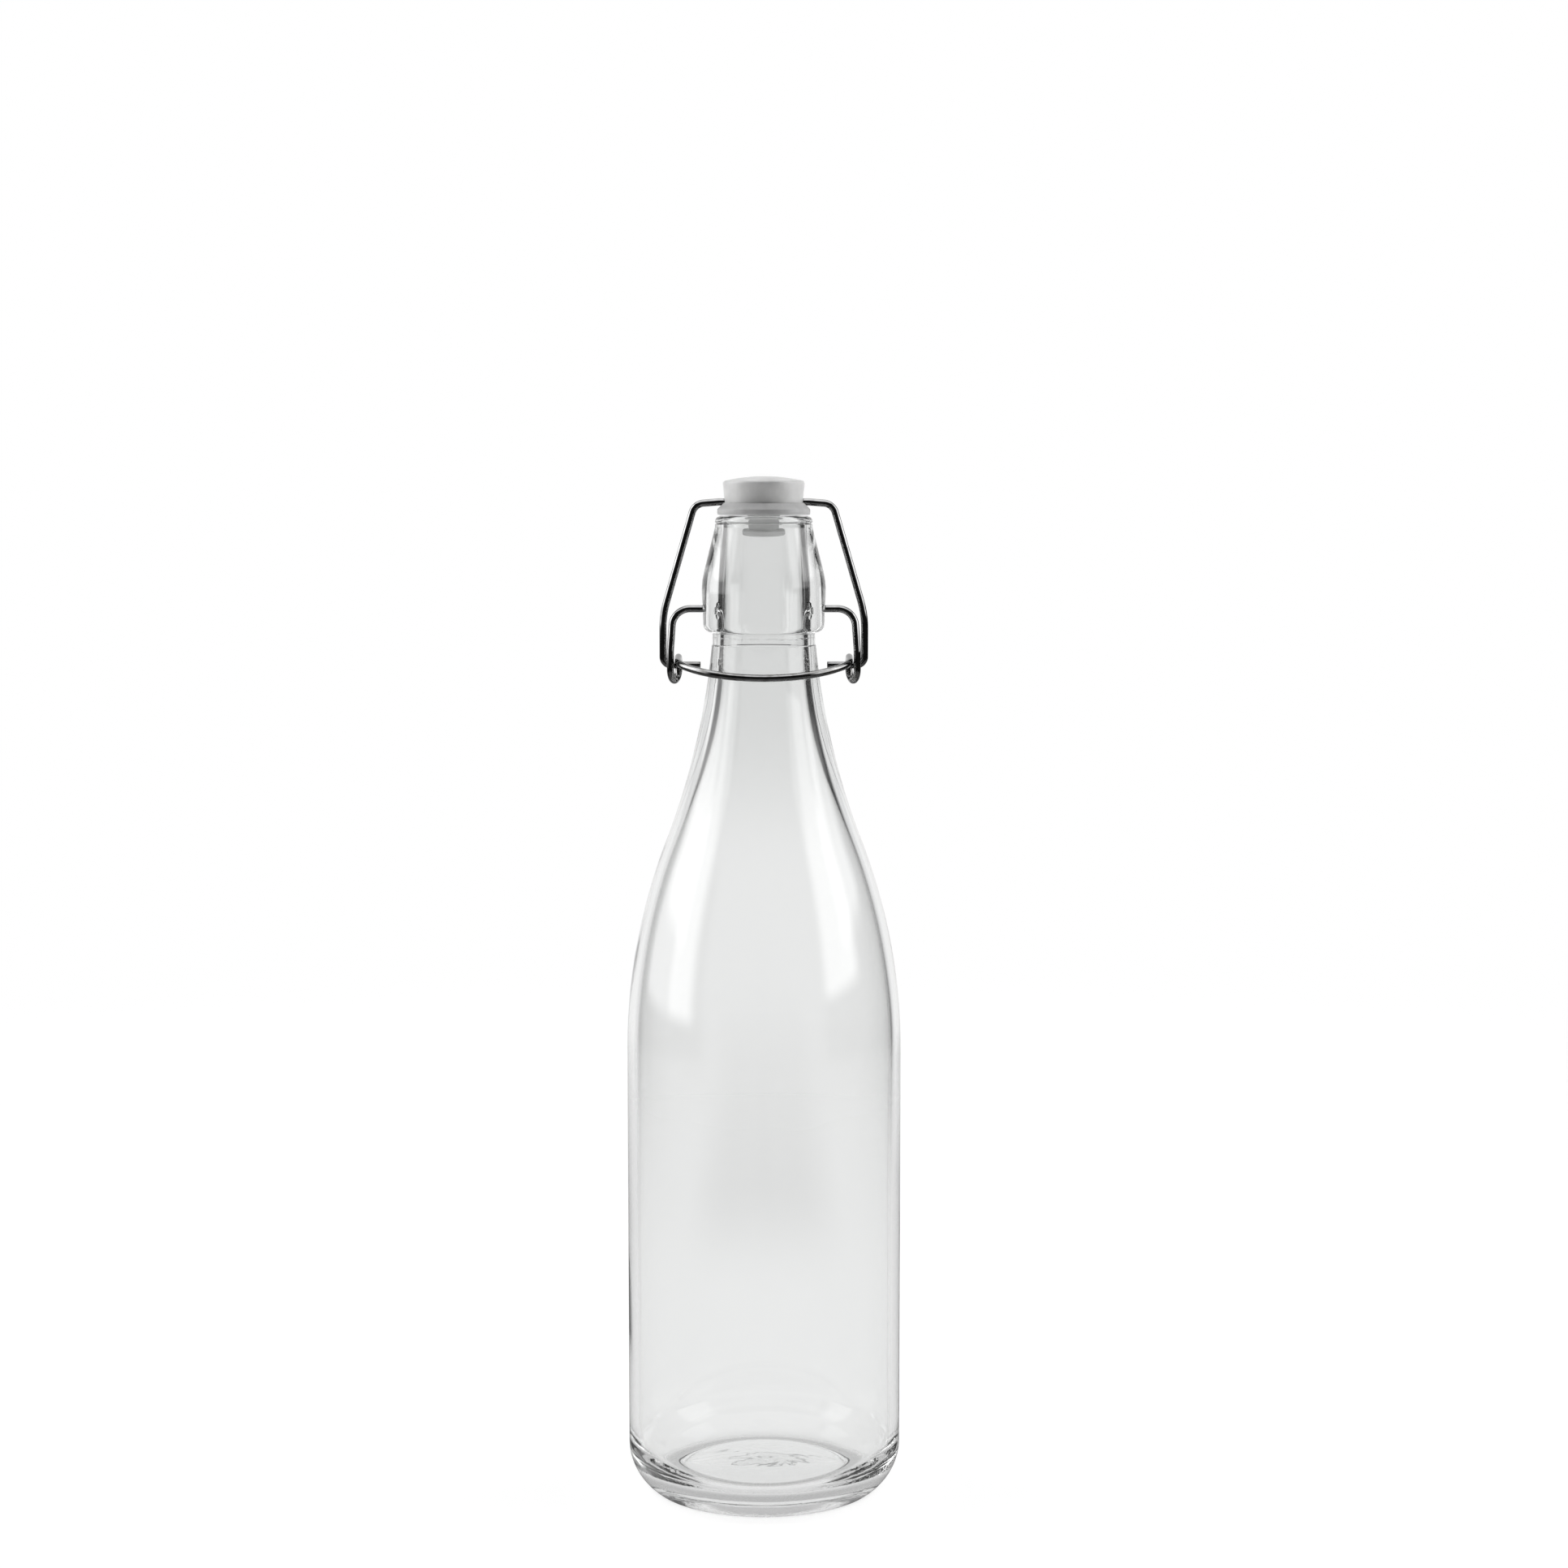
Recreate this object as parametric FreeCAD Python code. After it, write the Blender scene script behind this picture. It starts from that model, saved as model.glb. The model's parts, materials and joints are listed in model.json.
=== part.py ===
import FreeCAD, Part
import math
import os

# Swing top bottle, one litre, in millimetres.
# +Z is up, the origin is on the standing surface under the middle of the bottle,
# and the lever opens towards the front, which is -Y.

# ---- driving sizes: bottle body ----
body_radius = 43.0
body_wall = 3.0
body_height = 139.8           # top of the straight side
heel_radius = 17.0
heel_height = 14.0            # where the heel runs into the straight side
push_up_radius = 26.6
push_up_height = 4.5
push_up_step = 1.5            # height of the push-up's edge over the standing ring
standing_ring_inner = 28.6
base_thickness = 5.0
inner_heel_radius = 13.0

# ---- driving sizes: shoulder and neck ----
shoulder_radius = 181.6
shoulder_angle = 21.15        # steepest lean of the shoulder from upright, degrees
neck_radius = 16.2
neck_taper = 5.5              # lean of the neck where it ends, degrees
neck_band_height = 4.1
neck_step = 0.25
inner_neck_curve_radius = 106.0

# ---- driving sizes: finish (the thick collar and the lip) ----
collar_bottom_radius = 18.7
collar_radius = 19.45
collar_fillet = 2.5
collar_barrel_height = 15.2
collar_shoulder_radius = 22.0
collar_cone_height = 17.2
lip_radius = 15.15
lip_land_height = 1.3
lip_height = 2.3
lip_groove = 0.35
lip_round = 1.9
lip_groove_round = 0.1
lip_foot_round = 0.8
collar_root_round = 0.4
mouth_radius = 11.2
mouth_round = 1.3
bore_taper = 2.0              # degrees

# ---- driving sizes: wires ----
wire_radius = 1.12
wire_end_round = 0.3
wire_run_clearance = 0.06     # radial, wire in the head and in the dimples
strand_gap = 0.16             # between neighbouring strands of one coil eye

lever_pivot_above_collar = 7.2
dimple_depth = 3.4
dimple_end_gap = 0.3
dimple_flare_radius = 2.7
dimple_flare_depth = 1.7
dimple_cut_past = 1.7         # how far the cutting tools reach out past the mouth
lever_arm_x = 29.0
lever_shoulder_x = 28.1
lever_shoulder_bend = 5.5
lever_arm_bend = 8.0
lever_arm_bend_above_eye = 2.1
lever_arm_drop = 18.6         # from the pivot down to the middle of the coil eye
eye_play = 1.26               # room for the bail's end inside the coil eye
eye_radius = 2 * wire_radius + eye_play     # of the wire's centre line
eye_back = 1.2                # eye centre behind the pivot
loop_reach = 20.1             # from the pivot forward to the loop's front
loop_drop = 5.4
loop_corner_radius = 13.0
loop_straight = 2.0

bail_seat_back = 0.5          # the bail's end in the eye, from the eye's centre
bail_seat_up = 1.0
bail_side_x = lever_arm_x + 2 * wire_radius + strand_gap
bail_tip_x = 19.7
bail_lower_bend = 2.6
bail_side_height = 15.7       # height of the bend in the bail's side above its end
bail_side_bend = 30.0
bail_top_x = 21.4
bail_top_bend = 4.0
bail_top_slope = 0.6          # fall of the top run outside the head
bail_top_bend_small = 6.0

# ---- driving sizes: stopper and gasket ----
gasket_seat_gap = 0.3
gasket_radius = 14.45
gasket_rim_height = 1.7
gasket_edge_round = 0.45
gasket_cup_top_radius = 12.45
gasket_height = 3.7
gasket_floor = 2.1
gasket_stem_clearance = 0.05
gasket_wire_clearance = 0.3
wire_above_gasket_floor = 1.85
head_bottom_radius = 11.9
head_top_radius = 12.75
head_side_height = 8.3
head_edge_round = 0.9
head_dome = 1.5
head_dome_edge_rise = 0.33    # of the dome's edge over the side's top
head_foot_round = 0.3
head_cup_clearance = 0.08
stem_radius = 5.0
stem_foot_radius = 4.6
plug_reach = 7.6              # how far the barb's foot lies below the gasket
barb_radius = 6.7
barb_height = 1.8
barb_edge_round = 0.5
stem_root_round = 0.2


# ---- helpers ----
def vec(x, y, z):
    return FreeCAD.Vector(x, y, z)


def rz(r, z):
    return vec(r, 0, z)


def line(a, b):
    return Part.LineSegment(a, b).toShape()


def arc(a, middle, b):
    return Part.Arc(a, middle, b).toShape()


def dome(edge_r, edge_z, top_z):
    """Arc of a ball's cap from its edge to its top on the axis."""
    height = top_z - edge_z
    radius = (edge_r ** 2 + height ** 2) / (2 * height)
    half = math.asin(edge_r / radius) / 2
    middle = rz(radius * math.sin(half), top_z - radius * (1 - math.cos(half)))
    return arc(rz(edge_r, edge_z), middle, rz(0, top_z))


def rounded(corners):
    """Edges through (point, radius) corners, each corner turned with an arc of its radius.

    An arc that would run past its neighbour is made as large as the run between them allows.
    """
    points = [point for point, radius in corners]
    halves = [0] * len(points)
    reaches = [0] * len(points)
    for i in range(1, len(points) - 1):
        halves[i] = (points[i - 1] - points[i]).getAngle(points[i + 1] - points[i]) / 2
        reaches[i] = corners[i][1] / math.tan(halves[i])
    for i in range(len(points) - 1):
        room = (points[i + 1] - points[i]).Length * 0.98
        wanted = reaches[i] + reaches[i + 1]
        if wanted > room:
            reaches[i] *= room / wanted
            reaches[i + 1] *= room / wanted
    edges = []
    last = points[0]
    for i in range(1, len(points) - 1):
        point = points[i]
        if reaches[i] <= 0:
            edges.append(line(last, point))
            last = point
            continue
        before = (points[i - 1] - point).normalize()
        after = (points[i + 1] - point).normalize()
        bisector = (before + after).normalize()
        radius = reaches[i] * math.tan(halves[i])
        start = point + before * reaches[i]
        end = point + after * reaches[i]
        edges.append(line(last, start))
        edges.append(arc(start, point + bisector * (radius / math.sin(halves[i]) - radius), end))
        last = end
    edges.append(line(last, points[-1]))
    return edges


def turned(edges):
    """Solid made by turning a closed outline about Z."""
    face = Part.Face(Part.Wire(Part.__sortEdges__(edges)))
    return face.revolve(vec(0, 0, 0), vec(0, 0, 1), 360)


def swept(edges):
    """Round wire along a path, with its two cut ends rounded off."""
    path = Part.Wire(edges)
    start = edges[0].Vertexes[0].Point
    heading = edges[0].tangentAt(edges[0].FirstParameter)
    section = Part.Wire(Part.Circle(start, heading, wire_radius).toShape())
    solid = path.makePipeShell([section], True, False)
    ends = [e for e in solid.Edges if is_cut_end(e, start) or is_cut_end(e, edges[-1].Vertexes[-1].Point)]
    return solid.makeFillet(wire_end_round, ends)


def is_cut_end(edge, point):
    """True for the circle that the wire's cut face ends in."""
    curve = edge.Curve
    return hasattr(curve, "Center") and (curve.Center - point).Length < wire_radius / 10 and edge.Closed


def cylinder_x(radius, x0, x1, y, z):
    return Part.makeCylinder(radius, x1 - x0, vec(x0, y, z), vec(1, 0, 0))


def save(shape, node):
    solid = shape.removeSplitter()
    if solid.ShapeType != "Solid":
        solid = solid.Solids[0]
    solid.exportStep("parts/" + node + ".step")
    print(node, "volume", round(solid.Volume, 1), "valid", solid.isValid(), "solids", len(shape.Solids))
    return solid


# ---- heights that follow from the sizes ----
lean = math.radians(shoulder_angle)
taper = math.radians(neck_taper)
bore_lean = math.radians(bore_taper)
shoulder_end_r = body_radius - shoulder_radius * (1 - math.cos(lean))
shoulder_end_z = body_height + shoulder_radius * math.sin(lean)
neck_curve_radius = (shoulder_end_r - neck_radius) / (math.cos(taper) - math.cos(lean))
neck_top_z = shoulder_end_z + neck_curve_radius * (math.sin(lean) - math.sin(taper))
collar_z = neck_top_z + neck_band_height
cone_z = collar_z + collar_barrel_height
land_z = cone_z + collar_cone_height
groove_z = land_z + lip_land_height
lip_z = groove_z + lip_height
pivot_z = collar_z + lever_pivot_above_collar
gasket_z = lip_z + gasket_seat_gap
floor_z = gasket_z + gasket_floor
wire_z = floor_z + wire_above_gasket_floor


# ---- glass bottle ----
def bottle_outside():
    heel_centre_r = body_radius - heel_radius
    ring_r = heel_centre_r + math.sqrt(heel_radius ** 2 - heel_height ** 2)
    heel_mid = math.radians(30)
    half = lean / 2
    shoulder_centre_r = body_radius - shoulder_radius
    neck_centre_r = neck_radius + neck_curve_radius * math.cos(taper)
    neck_centre_z = neck_top_z + neck_curve_radius * math.sin(taper)
    neck_mid = (lean + taper) / 2
    band = neck_radius - neck_step
    edges = [
        dome(push_up_radius, push_up_step, push_up_height),
        line(rz(push_up_radius, push_up_step), rz(standing_ring_inner, 0)),
        line(rz(standing_ring_inner, 0), rz(ring_r, 0)),
        arc(
            rz(ring_r, 0),
            rz(heel_centre_r + heel_radius * math.cos(heel_mid), heel_height - heel_radius * math.sin(heel_mid)),
            rz(body_radius, heel_height),
        ),
        line(rz(body_radius, heel_height), rz(body_radius, body_height)),
        arc(
            rz(body_radius, body_height),
            rz(shoulder_centre_r + shoulder_radius * math.cos(half), body_height + shoulder_radius * math.sin(half)),
            rz(shoulder_end_r, shoulder_end_z),
        ),
        arc(
            rz(shoulder_end_r, shoulder_end_z),
            rz(
                neck_centre_r - neck_curve_radius * math.cos(neck_mid),
                neck_centre_z - neck_curve_radius * math.sin(neck_mid),
            ),
            rz(neck_radius, neck_top_z),
        ),
    ]
    edges += rounded([
        (rz(neck_radius, neck_top_z), 0),
        (rz(band, neck_top_z + neck_step), 0),
        (rz(band, collar_z), collar_root_round),
        (rz(collar_bottom_radius, collar_z), collar_fillet),
        (rz(collar_radius, cone_z), collar_shoulder_radius),
        (rz(lip_radius, land_z), lip_foot_round),
        (rz(lip_radius, groove_z - lip_groove), lip_groove_round),
        (rz(lip_radius - lip_groove, groove_z), lip_groove_round),
        (rz(lip_radius, groove_z + lip_groove), lip_groove_round),
        (rz(lip_radius, lip_z), lip_round),
        (rz(mouth_radius, lip_z), mouth_round),
        (rz(bore_foot_r, bore_foot_z), 0),
    ])
    return edges


# the inside of the shoulder keeps the wall of the body, then runs straight and
# turns into the tapered bore with its own curve
inner_r = body_radius - body_wall
inner_shoulder_radius = shoulder_radius - body_wall
inner_shoulder_r = inner_r - inner_shoulder_radius * (1 - math.cos(lean))
inner_shoulder_z = body_height + inner_shoulder_radius * math.sin(lean)
curve_drop = inner_neck_curve_radius * (math.cos(bore_lean) - math.cos(lean))
curve_rise = inner_neck_curve_radius * (math.sin(lean) - math.sin(bore_lean))
reach_z = inner_shoulder_z + (inner_shoulder_r - curve_drop) / math.tan(lean) + curve_rise
bore_slope = math.tan(bore_lean)
bore_foot_r = (mouth_radius + bore_slope * (lip_z - reach_z)) / (1 - bore_slope / math.tan(lean))
bore_foot_z = reach_z - bore_foot_r / math.tan(lean)


def bottle_inside():
    curve_start_r = bore_foot_r + curve_drop
    curve_start_z = bore_foot_z - curve_rise
    curve_centre_r = bore_foot_r + inner_neck_curve_radius * math.cos(bore_lean)
    curve_centre_z = bore_foot_z + inner_neck_curve_radius * math.sin(bore_lean)
    curve_mid = (lean + bore_lean) / 2
    half = lean / 2
    centre_r = body_radius - shoulder_radius
    heel_r = inner_r - inner_heel_radius
    floor_edge_z = base_thickness
    heel_z = floor_edge_z + inner_heel_radius
    diagonal = inner_heel_radius * math.sqrt(0.5)
    return [
        arc(
            rz(bore_foot_r, bore_foot_z),
            rz(
                curve_centre_r - inner_neck_curve_radius * math.cos(curve_mid),
                curve_centre_z - inner_neck_curve_radius * math.sin(curve_mid),
            ),
            rz(curve_start_r, curve_start_z),
        ),
        line(rz(curve_start_r, curve_start_z), rz(inner_shoulder_r, inner_shoulder_z)),
        arc(
            rz(inner_shoulder_r, inner_shoulder_z),
            rz(
                centre_r + inner_shoulder_radius * math.cos(half),
                body_height + inner_shoulder_radius * math.sin(half),
            ),
            rz(inner_r, body_height),
        ),
        line(rz(inner_r, body_height), rz(inner_r, heel_z)),
        arc(rz(inner_r, heel_z), rz(heel_r + diagonal, heel_z - diagonal), rz(heel_r, floor_edge_z)),
        dome(heel_r, floor_edge_z, floor_edge_z + push_up_height),
        line(rz(0, floor_edge_z + push_up_height), rz(0, push_up_height)),
    ]


def dimple(side):
    """Moulded hole for one end of the lever wire, with a flared mouth."""
    surface_x = collar_bottom_radius + (collar_radius - collar_bottom_radius) * (
        lever_pivot_above_collar / collar_barrel_height
    )
    bottom_x = surface_x - dimple_depth - dimple_end_gap
    hole_r = wire_radius + wire_run_clearance
    hole_length = surface_x - bottom_x + dimple_cut_past
    hole = Part.makeCylinder(hole_r, hole_length, vec(side * bottom_x, 0, pivot_z), vec(side, 0, 0))
    flare_start = surface_x - dimple_flare_depth
    flare_slope = (dimple_flare_radius - hole_r) / dimple_flare_depth
    flare_length = dimple_flare_depth + dimple_cut_past / 2
    flare = Part.makeCone(
        hole_r,
        hole_r + flare_slope * flare_length,
        flare_length,
        vec(side * flare_start, 0, pivot_z),
        vec(side, 0, 0),
    )
    return hole.fuse(flare), bottom_x + dimple_end_gap


def glass_bottle():
    glass = turned(bottle_outside() + bottle_inside())
    for side in (-1, 1):
        glass = glass.cut(dimple(side)[0])
    return glass


# ---- lever wire ----
eye_y = eye_back
eye_z = pivot_z - lever_arm_drop
loop_x = lever_arm_x - 2 * wire_radius - strand_gap
loop_lean = math.atan2(loop_drop, loop_reach + eye_y)


def lever_half(side):
    """Edges from the dimple's end to the middle of the front loop."""
    tip_x = dimple(1)[1]
    front_y = eye_y - eye_radius
    rear = vec(side * loop_x, eye_y + eye_radius, eye_z)
    arm_foot = vec(side * lever_arm_x, front_y, eye_z)
    arm = rounded([
        (vec(side * tip_x, 0, pivot_z), 0),
        (vec(side * lever_shoulder_x, 0, pivot_z), lever_shoulder_bend),
        (vec(side * lever_arm_x, front_y, eye_z + eye_radius + lever_arm_bend_above_eye), lever_arm_bend),
        (arm_foot, 0),
    ])
    under = arc(arm_foot, (arm_foot + rear) * 0.5 - vec(0, 0, 1) * ((arm_foot - rear).Length / 2), rear)
    turn = math.pi / 2 + loop_lean
    over = arc(rear, eye_point(side, turn / 2), eye_point(side, turn))
    return arm + [under, over] + loop_half(side, turn)


def eye_point(side, angle):
    """Point of the coil eye, the angle measured from its rear over its top."""
    return vec(side * loop_x, eye_y + eye_radius * math.cos(angle), eye_z + eye_radius * math.sin(angle))


def loop_half(side, turn):
    """Front loop from the eye to the middle: straight, corner arc and wide front arc."""
    start = eye_point(side, turn)
    ahead = vec(0, -math.cos(loop_lean), -math.sin(loop_lean))
    reach = (loop_reach + start.y) / math.cos(loop_lean)
    corner_x = loop_x - loop_corner_radius
    offset = reach - loop_straight
    rise = offset - loop_corner_radius
    front_radius = (corner_x ** 2 + offset ** 2 - loop_corner_radius ** 2) / (2 * rise)
    sweep = math.atan2(corner_x, front_radius - offset)

    def place(x, forward):
        return start + ahead * forward - vec(side * (loop_x - x), 0, 0)

    def corner(angle):
        return place(
            corner_x + loop_corner_radius * math.cos(angle),
            loop_straight + loop_corner_radius * math.sin(angle),
        )

    def front(angle):
        return place(front_radius * math.sin(angle), reach - front_radius * (1 - math.cos(angle)))

    corner_turn = math.pi / 2 - sweep
    return [
        line(start, corner(0)),
        arc(corner(0), corner(corner_turn / 2), corner(corner_turn)),
        arc(front(sweep), front(sweep / 2), front(0)),
    ]


def lever_wire():
    right = lever_half(1)
    left = lever_half(-1)
    back = [reversed_edge(e) for e in reversed(left)]
    return swept(right + back)


def reversed_edge(edge):
    """The same line or arc, run the other way."""
    first = edge.valueAt(edge.FirstParameter)
    last = edge.valueAt(edge.LastParameter)
    middle = edge.valueAt((edge.FirstParameter + edge.LastParameter) / 2)
    if isinstance(edge.Curve, Part.Line):
        return line(last, first)
    return arc(last, middle, first)


# ---- bail wire ----
seat_y = eye_y + bail_seat_back
seat_z = eye_z + bail_seat_up
bail_lean = math.atan2(seat_y, wire_z - seat_z)
bail_length = math.hypot(seat_y, wire_z - seat_z)


def bail_point(x, up):
    """Point of the bail from its height above its lower ends, along the leaning plane."""
    return vec(x, seat_y - up * math.sin(bail_lean), seat_z + up * math.cos(bail_lean))


def bail_wire():
    head_side = head_top_radius + wire_radius
    right = [
        (bail_point(bail_tip_x, 0), 0),
        (bail_point(bail_side_x, 0), bail_lower_bend),
        (bail_point(bail_side_x, bail_side_height), bail_side_bend),
        (bail_point(bail_top_x, bail_length - bail_top_slope), bail_top_bend),
        (bail_point(head_side, bail_length), bail_top_bend_small),
    ]
    left = [(vec(-point.x, point.y, point.z), radius) for point, radius in reversed(right)]
    return swept(rounded(right + left))


# ---- stopper: head, stem and barb in one moulding ----
def stopper():
    top_z = floor_z + head_side_height
    barb_z = gasket_z - plug_reach
    dome_r = head_top_radius - 2 * head_edge_round
    dome_edge_z = top_z + head_dome_edge_rise
    outline = rounded([
        (rz(0, barb_z), 0),
        (rz(barb_radius, barb_z), barb_edge_round),
        (rz(barb_radius, barb_z + barb_height), barb_edge_round),
        (rz(stem_foot_radius, barb_z + barb_height), stem_root_round),
        (rz(stem_radius, gasket_z), 0),
        (rz(stem_radius, floor_z), 0),
        (rz(head_bottom_radius, floor_z), head_foot_round),
        (rz(head_top_radius, top_z), head_edge_round),
        (rz(dome_r, dome_edge_z), 0),
    ])
    outline.append(dome(dome_r, dome_edge_z, top_z + head_dome))
    outline.append(line(rz(0, top_z + head_dome), rz(0, barb_z)))
    reach = head_top_radius * 2
    hole = cylinder_x(wire_radius + wire_run_clearance, -reach, reach, 0, wire_z)
    return turned(outline).cut(hole)


# ---- gasket: rubber washer with a cup that holds the foot of the head ----
def gasket():
    bore = stem_radius + gasket_stem_clearance
    cup = head_bottom_radius + head_cup_clearance
    slope = (head_top_radius - head_bottom_radius) / head_side_height
    cup_top = cup + slope * (gasket_height - gasket_floor)
    outline = rounded([
        (rz(bore, gasket_z), 0),
        (rz(gasket_radius, gasket_z), gasket_edge_round),
        (rz(gasket_radius, gasket_z + gasket_rim_height), gasket_edge_round),
        (rz(gasket_cup_top_radius, gasket_z + gasket_height), 0),
        (rz(cup_top, gasket_z + gasket_height), 0),
        (rz(cup, floor_z), 0),
        (rz(bore, floor_z), 0),
        (rz(bore, gasket_z), 0),
    ])
    reach = gasket_radius * 2
    saddle = cylinder_x(wire_radius + gasket_wire_clearance, -reach, reach, 0, wire_z)
    return turned(outline).cut(saddle)


os.makedirs("parts", exist_ok=True)
save(glass_bottle(), "glass_bottle")
save(lever_wire(), "lever_wire")
save(bail_wire(), "bail_wire")
save(stopper(), "stopper")
save(gasket(), "gasket")

inside_ml = Part.Face(Part.Wire(Part.__sortEdges__(
    bottle_inside()[:-1] + [
        line(rz(0, base_thickness + push_up_height), rz(0, lip_z)),
        line(rz(0, lip_z), rz(mouth_radius, lip_z)),
        line(rz(mouth_radius, lip_z), rz(bore_foot_r, bore_foot_z)),
    ]
))).revolve(vec(0, 0, 0), vec(0, 0, 1), 360).Volume / 1000
print("brimful capacity ml", round(inside_ml, 1))
print("heights: neck top", round(neck_top_z, 2), "collar", round(collar_z, 2), "pivot", round(pivot_z, 2))
print("lip", round(lip_z, 2), "wire in head", round(wire_z, 2), "bail seat", round(seat_y, 2), round(seat_z, 2))
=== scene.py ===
import json
import math

import bmesh
import bpy
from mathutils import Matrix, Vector


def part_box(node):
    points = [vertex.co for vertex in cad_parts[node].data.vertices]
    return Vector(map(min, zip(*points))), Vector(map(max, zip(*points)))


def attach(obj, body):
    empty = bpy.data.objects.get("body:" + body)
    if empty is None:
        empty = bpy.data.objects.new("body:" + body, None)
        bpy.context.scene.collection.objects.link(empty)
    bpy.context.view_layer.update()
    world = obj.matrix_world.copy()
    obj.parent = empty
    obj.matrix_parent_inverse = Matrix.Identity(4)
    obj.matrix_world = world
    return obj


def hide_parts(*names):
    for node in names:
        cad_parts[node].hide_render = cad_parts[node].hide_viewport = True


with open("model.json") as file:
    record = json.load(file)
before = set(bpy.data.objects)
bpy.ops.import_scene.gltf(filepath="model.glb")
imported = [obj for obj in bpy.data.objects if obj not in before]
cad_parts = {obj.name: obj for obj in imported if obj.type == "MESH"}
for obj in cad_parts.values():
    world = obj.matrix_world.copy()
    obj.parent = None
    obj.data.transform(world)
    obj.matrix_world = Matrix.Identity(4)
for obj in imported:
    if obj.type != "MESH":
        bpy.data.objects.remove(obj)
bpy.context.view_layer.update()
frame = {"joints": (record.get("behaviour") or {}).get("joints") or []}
scene = bpy.context.scene


# ---- Table top, light and camera ----
# A pale table top that fades out into a white room. A tall soft light stands at each side of
# the camera and a lit wall behind, and the dark gaps between them draw the edges of the glass.
# An edge is a pair, dark at its first value and fully lit at its second: degrees round from the
# camera's side, or how far the direction points up.
table_radius = 1.1
table_sides = 96
table_fade = (0.30, table_radius * 0.95)
table_grey = 0.22
table_glow = 0.88
table_glow_in_glass = table_glow * 0.84
table_glow_in_wire = 0.05
contact_inner_edge = (0.0265, 0.0285)
contact_outer_edge = (0.038, 0.032)
contact_shade = 0.45
far_table_edge = (0.22, 0.42)
far_table_middle = (0.055, 0.020)
far_table_shade = 0.03
far_table_middle_shade = 0.13
camera_distance = 0.946
camera_height = 0.3165
camera_tilt = 5.62
camera_turn = 0.38
camera_lens = 69.84
side_light = 2.4
side_inner_edge = (50, 62)
side_outer_edge = (98, 88)
side_foot_edge = (-0.035, 0.035)
side_head_edge = (0.80, 0.62)
side_foot_slope = 0.05
left_turn = 9
left_wing_inner_edge = (88, 98)
left_wing_outer_edge = (124, 114)
wall_light = 0.90
wall_turn = math.radians(2)
wall_side_edge = (0.71, 0.82)
wall_head_edge = (0.85, 0.55)
room_light = 0.02
front_light = 0.75
front_edge = (62, 50)
floor_light = 0.76
floor_edge = (-0.12, -0.22)
sky_light = 0.75
sky_edge = (0.35, 0.55)
gap_inner_edge = (88, 98)
gap_outer_edge = (150, 136)
gap_shade = 0.9
gap_light = 0.72
both_walls_crossed = 3.5
ceiling_light = 2.4
ceiling_edge = (0.70, 0.84)
high_side_light = 3.2
high_side_inner_edge = (74, 86)
high_side_outer_edge = (120, 104)
high_side_foot_edge = (0.12, 0.24)
high_side_head_edge = (0.86, 0.66)
matt_side_light = 2.4
matt_side_inner_edge = (68, 84)
matt_side_outer_edge = (132, 120)
matt_fill_light = 0.06
matt_ceiling_share = 0.09


def new_node(tree, kind, inputs=None, **settings):
    """One node, with its settings and the values of its inputs by name or number."""
    made = tree.nodes.new(kind)
    for name, value in settings.items():
        setattr(made, name, value)
    for name, value in (inputs or {}).items():
        if isinstance(value, bpy.types.NodeSocket):
            tree.links.new(value, made.inputs[name])
        else:
            made.inputs[name].default_value = value
    return made


def maths(tree, operation, a, b=0.0):
    return new_node(tree, "ShaderNodeMath", {0: a, 1: b}, operation=operation).outputs[0]


def product(tree, first, *others):
    for other in others:
        first = maths(tree, "MULTIPLY", first, other)
    return first


def total(tree, first, *others):
    for other in others:
        first = maths(tree, "ADD", first, other)
    return first


def step_between(tree, value, low, high):
    """0 below low and 1 above high, eased between; low over high turns it round."""
    made = new_node(tree, "ShaderNodeMapRange", {"Value": value}, interpolation_type="SMOOTHSTEP")
    made.inputs["From Min"].default_value = min(low, high)
    made.inputs["From Max"].default_value = max(low, high)
    made.inputs["To Min"].default_value = 0.0 if low < high else 1.0
    made.inputs["To Max"].default_value = 1.0 if low < high else 0.0
    return made.outputs["Result"]


def within(tree, value, inner_edge, outer_edge):
    """1 between two soft edges and 0 outside them."""
    return product(tree, step_between(tree, value, *inner_edge), step_between(tree, value, *outer_edge))


def either(tree, choice, a, b):
    """a where the choice is 0 and b where it is 1."""
    return new_node(tree, "ShaderNodeMix", {0: choice, 2: a, 3: b}).outputs[0]


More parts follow.
